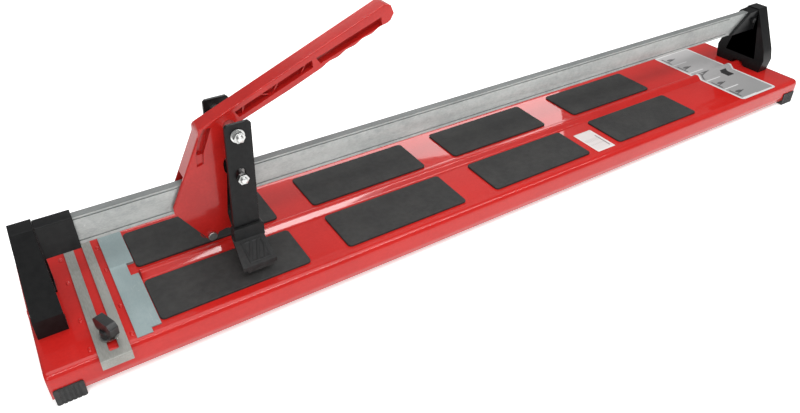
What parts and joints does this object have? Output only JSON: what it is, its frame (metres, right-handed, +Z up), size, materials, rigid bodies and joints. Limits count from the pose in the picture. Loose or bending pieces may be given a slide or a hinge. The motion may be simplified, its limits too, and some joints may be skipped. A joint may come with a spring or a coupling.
{
  "type": "tile cutter",
  "caption": "Long manual tile cutter: a folded steel table with rubber pads, a guide rail and a lever carriage that scores and breaks tiles.",
  "frame": {"origin": "on the floor under the middle of the table", "axes": "+X along the rail towards the cast rear frame, +Y across the table, +Z up"},
  "size_m": [1.406, 0.254, 0.3451],
  "materials": {
    "red_paint": "gloss",
    "black_steel": "satin",
    "rail_steel": "satin",
    "zinc": "satin",
    "bar_steel": "satin",
    "stop_steel": "satin",
    "pad_rubber": "matte",
    "foot_rubber": "matte",
    "shoe_plastic": "matte",
    "knob_plastic": "satin",
    "carbide": "polished"
  },
  "bodies": {
    "table": {"deck_front": "red_paint", "deck_near": "red_paint", "deck_far": "red_paint", "ridge_strip": "red_paint", "side_flange_near": "red_paint", "side_flange_far": "red_paint", "end_flange_front": "red_paint", "end_flange_rear": "red_paint", "pad_1": "pad_rubber", "pad_2": "pad_rubber", "pad_3": "pad_rubber", "pad_4": "pad_rubber", "pad_5": "pad_rubber", "pad_6": "pad_rubber", "pad_7": "pad_rubber", "pad_8": "pad_rubber", "foot_front_near": "foot_rubber", "foot_front_far": "foot_rubber", "foot_rear_near": "foot_rubber", "foot_rear_far": "foot_rubber", "stop_plate": "stop_steel", "knob_stud": "zinc", "rail": "rail_steel", "front_bracket": "black_steel", "bracket_screws": "black_steel", "rail_front_holder": "black_steel", "holder_screw": "black_steel", "rear_frame": "black_steel", "rail_clamp_bolt": "black_steel", "frame_bolts": "zinc"},
    "carriage": {"saddle": "black_steel", "main_axle": "zinc", "axle_sleeves": "black_steel", "return_spring": "black_steel"},
    "press": {"arm_near": "black_steel", "arm_far": "black_steel", "shoe_near": "shoe_plastic", "shoe_far": "shoe_plastic", "sole_near": "pad_rubber", "sole_far": "pad_rubber", "spacer_near": "zinc", "spacer_far": "zinc", "pivot_bolt": "zinc"},
    "hand_lever": {"lever": "red_paint", "wheel_axle": "zinc"},
    "cutter": {"scoring_wheel": "carbide"},
    "side_bar": {"guide_bar": "bar_steel"},
    "knob": {"wing_knob": "knob_plastic", "knob_washer": "zinc"},
    "roller_tf": {"top_roller_front": "zinc"},
    "roller_tr": {"top_roller_rear": "zinc"},
    "roller_lf": {"low_roller_front": "zinc"},
    "roller_lr": {"low_roller_rear": "zinc"}
  },
  "joints": [
    {"name": "carriage_slide", "type": "slide", "parent": "table", "child": "carriage", "axis": [1, 0, 0], "range_m": [-0.105, 1.01]},
    {"name": "press_down", "type": "slide", "parent": "carriage", "child": "press", "axis": [0, 0, -1], "range_m": [0, 0.006], "stiffness_N_per_m": 3000, "springref_m": -0.02, "deforming": ["return_spring"]},
    {"name": "lever_tilt", "type": "hinge", "parent": "press", "child": "hand_lever", "pos_m": [-0.427, 0, 0.233], "axis": [0, -1, 0], "range_deg": [0, 4]},
    {"name": "wheel_spin", "type": "hinge", "parent": "hand_lever", "child": "cutter", "pos_m": [-0.472, 0, 0.08], "axis": [0, 1, 0], "continuous": true},
    {"name": "side_bar_slide", "type": "slide", "parent": "table", "child": "side_bar", "axis": [0, -1, 0], "range_m": [-0.009, 0.19]},
    {"name": "knob_turn", "type": "hinge", "parent": "table", "child": "knob", "pos_m": [-0.6275, -0.089, 0.055], "axis": [0, 0, 1], "range_deg": [-30, 360]},
    {"name": "top_front_spin", "type": "hinge", "parent": "carriage", "child": "roller_tf", "pos_m": [-0.467, 0, 0.1743], "axis": [0, 1, 0], "continuous": true},
    {"name": "top_rear_spin", "type": "hinge", "parent": "carriage", "child": "roller_tr", "pos_m": [-0.4295, 0, 0.1743], "axis": [0, 1, 0], "continuous": true},
    {"name": "low_front_spin", "type": "hinge", "parent": "carriage", "child": "roller_lf", "pos_m": [-0.467, 0, 0.1207], "axis": [0, 1, 0], "continuous": true},
    {"name": "low_rear_spin", "type": "hinge", "parent": "carriage", "child": "roller_lr", "pos_m": [-0.4295, 0, 0.1207], "axis": [0, 1, 0], "continuous": true}
  ],
  "couplings": [
    {"joint": "top_front_spin", "follows": "carriage_slide", "rad_per_m": 125},
    {"joint": "top_rear_spin", "follows": "carriage_slide", "rad_per_m": 125},
    {"joint": "low_front_spin", "follows": "carriage_slide", "rad_per_m": -166.67},
    {"joint": "low_rear_spin", "follows": "carriage_slide", "rad_per_m": -166.67}
  ]
}
